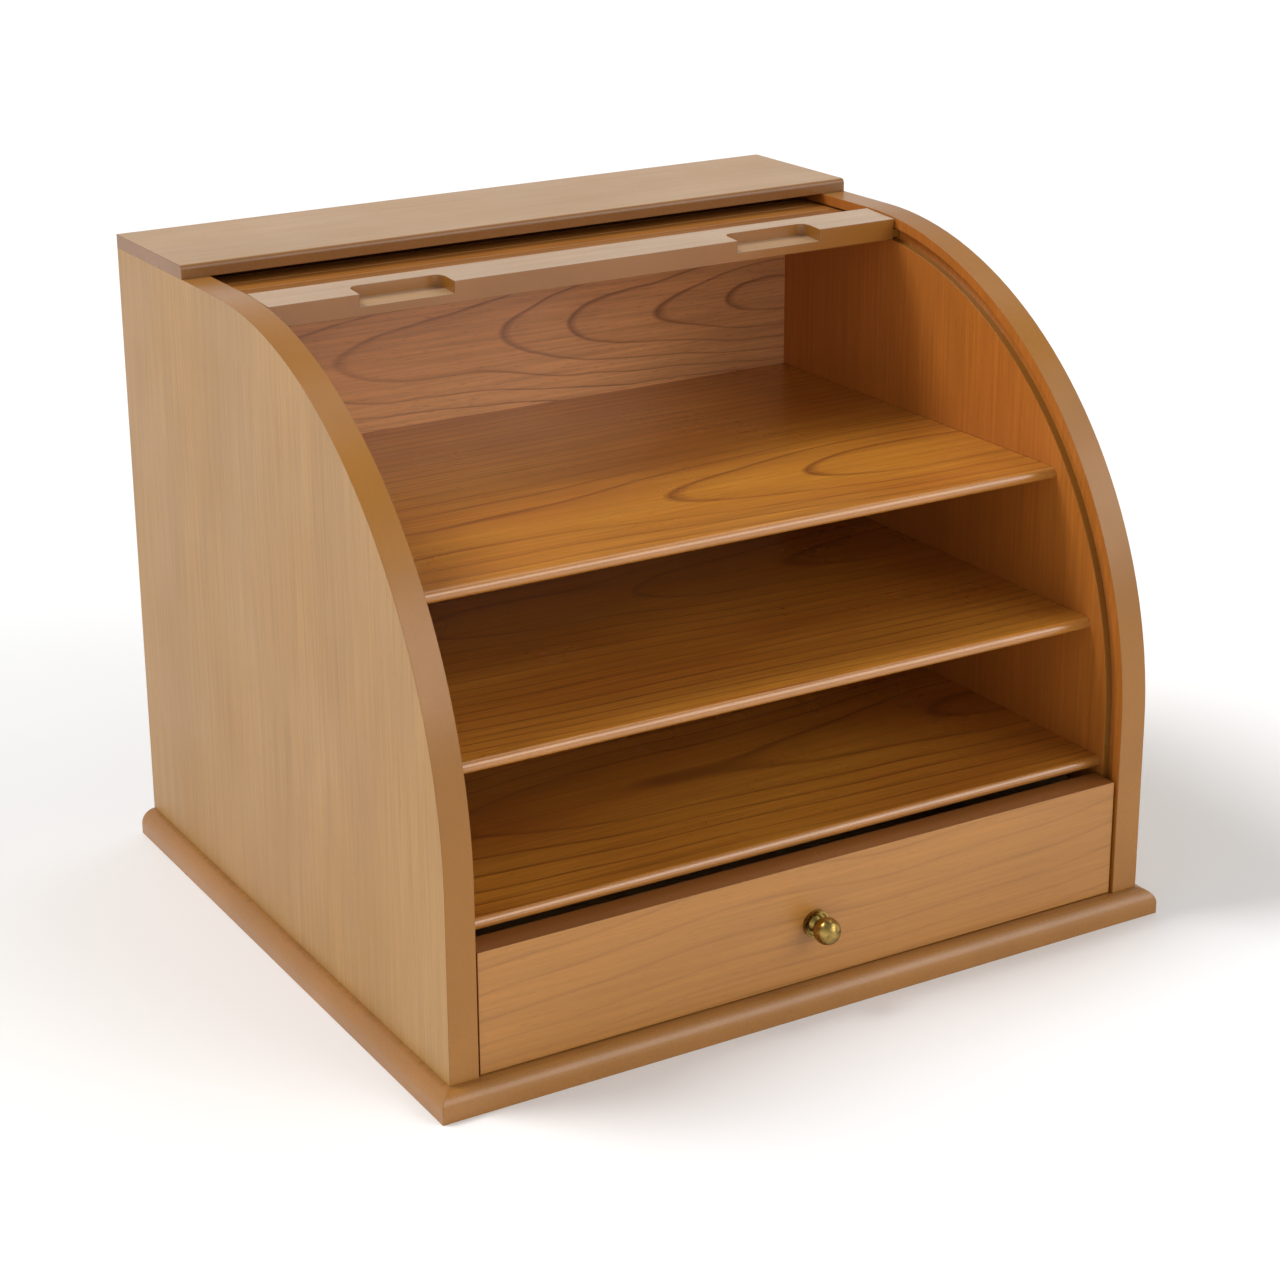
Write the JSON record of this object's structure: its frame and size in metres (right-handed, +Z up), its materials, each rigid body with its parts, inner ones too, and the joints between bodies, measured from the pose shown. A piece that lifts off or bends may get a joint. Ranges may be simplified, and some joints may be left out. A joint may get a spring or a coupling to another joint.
{
  "type": "roll-top bread box",
  "caption": "Wooden roll-top box with quarter-round sides, a slatted roll top, open shelves, a drawer with a small ball knob and a moulded base board.",
  "frame": {"origin": "middle of the base board's underside, on the surface that the box stands on", "axes": "+X is the width, -Y is the front where the drawer and the roll top open, +Z is up"},
  "size_m": [0.416, 0.3752, 0.3405],
  "materials": {
    "base_wood": "satin varnish",
    "side_wood": "satin varnish",
    "top_wood": "satin varnish",
    "back_wood": "matt",
    "inner_back_wood": "satin varnish",
    "shelf_wood": "semi-gloss varnish",
    "drawer_front_wood": "satin varnish",
    "drawer_box_wood": "unfinished",
    "rail_wood": "satin varnish",
    "slat_wood": "satin varnish",
    "aged_brass": "aged, lacquered",
    "zinc_steel": "zinc plated",
    "canvas_cloth": "plain weave"
  },
  "bodies": {
    "cabinet": {"base_board": "base_wood", "left_side": "side_wood", "right_side": "side_wood", "top_board": "top_wood", "back_panel": "back_wood", "inner_back": "inner_back_wood", "low_shelf": "shelf_wood", "mid_shelf": "shelf_wood", "top_shelf": "shelf_wood", "drawer_stops": "drawer_box_wood", "base_screws": "zinc_steel", "back_pins": "zinc_steel", "slat_04": "slat_wood", "slat_05": "slat_wood", "slat_06": "slat_wood", "slat_07": "slat_wood", "slat_08": "slat_wood", "slat_09": "slat_wood", "slat_10": "slat_wood", "slat_11": "slat_wood", "slat_12": "slat_wood", "slat_13": "slat_wood", "slat_14": "slat_wood", "slat_15": "slat_wood", "slat_16": "slat_wood", "slat_17": "slat_wood", "slat_18": "slat_wood", "slat_19": "slat_wood", "slat_20": "slat_wood", "slat_21": "slat_wood", "slat_22": "slat_wood", "slat_23": "slat_wood", "slat_24": "slat_wood", "slat_25": "slat_wood", "slat_26": "slat_wood", "canvas": "canvas_cloth"},
    "drawer": {"drawer_front": "drawer_front_wood", "drawer_left": "drawer_box_wood", "drawer_right": "drawer_box_wood", "drawer_back": "drawer_box_wood", "drawer_bottom": "drawer_box_wood", "knob": "aged_brass", "knob_rose": "aged_brass", "knob_screw": "zinc_steel"},
    "roll_top": {"lead_rail": "rail_wood", "slat_01": "slat_wood", "slat_02": "slat_wood", "slat_03": "slat_wood"}
  },
  "joints": [
    {"name": "drawer_slide", "type": "slide", "parent": "cabinet", "child": "drawer", "axis": [0, -1, 0], "range_m": [0, 0.2]},
    {"name": "roll_top_travel", "type": "hinge", "parent": "cabinet", "child": "roll_top", "pos_m": [0, 0.052, 0.1055], "axis": [1, 0, 0], "range_deg": [0, 90], "deforming": ["slat_01", "slat_02", "slat_03", "slat_04", "slat_05", "slat_06", "slat_07", "slat_08", "slat_09", "slat_10", "slat_11", "slat_12", "slat_13", "slat_14", "slat_15", "slat_16", "slat_17", "slat_18", "slat_19", "slat_20", "slat_21", "slat_22", "slat_23", "slat_24", "slat_25", "slat_26", "canvas"]}
  ]
}
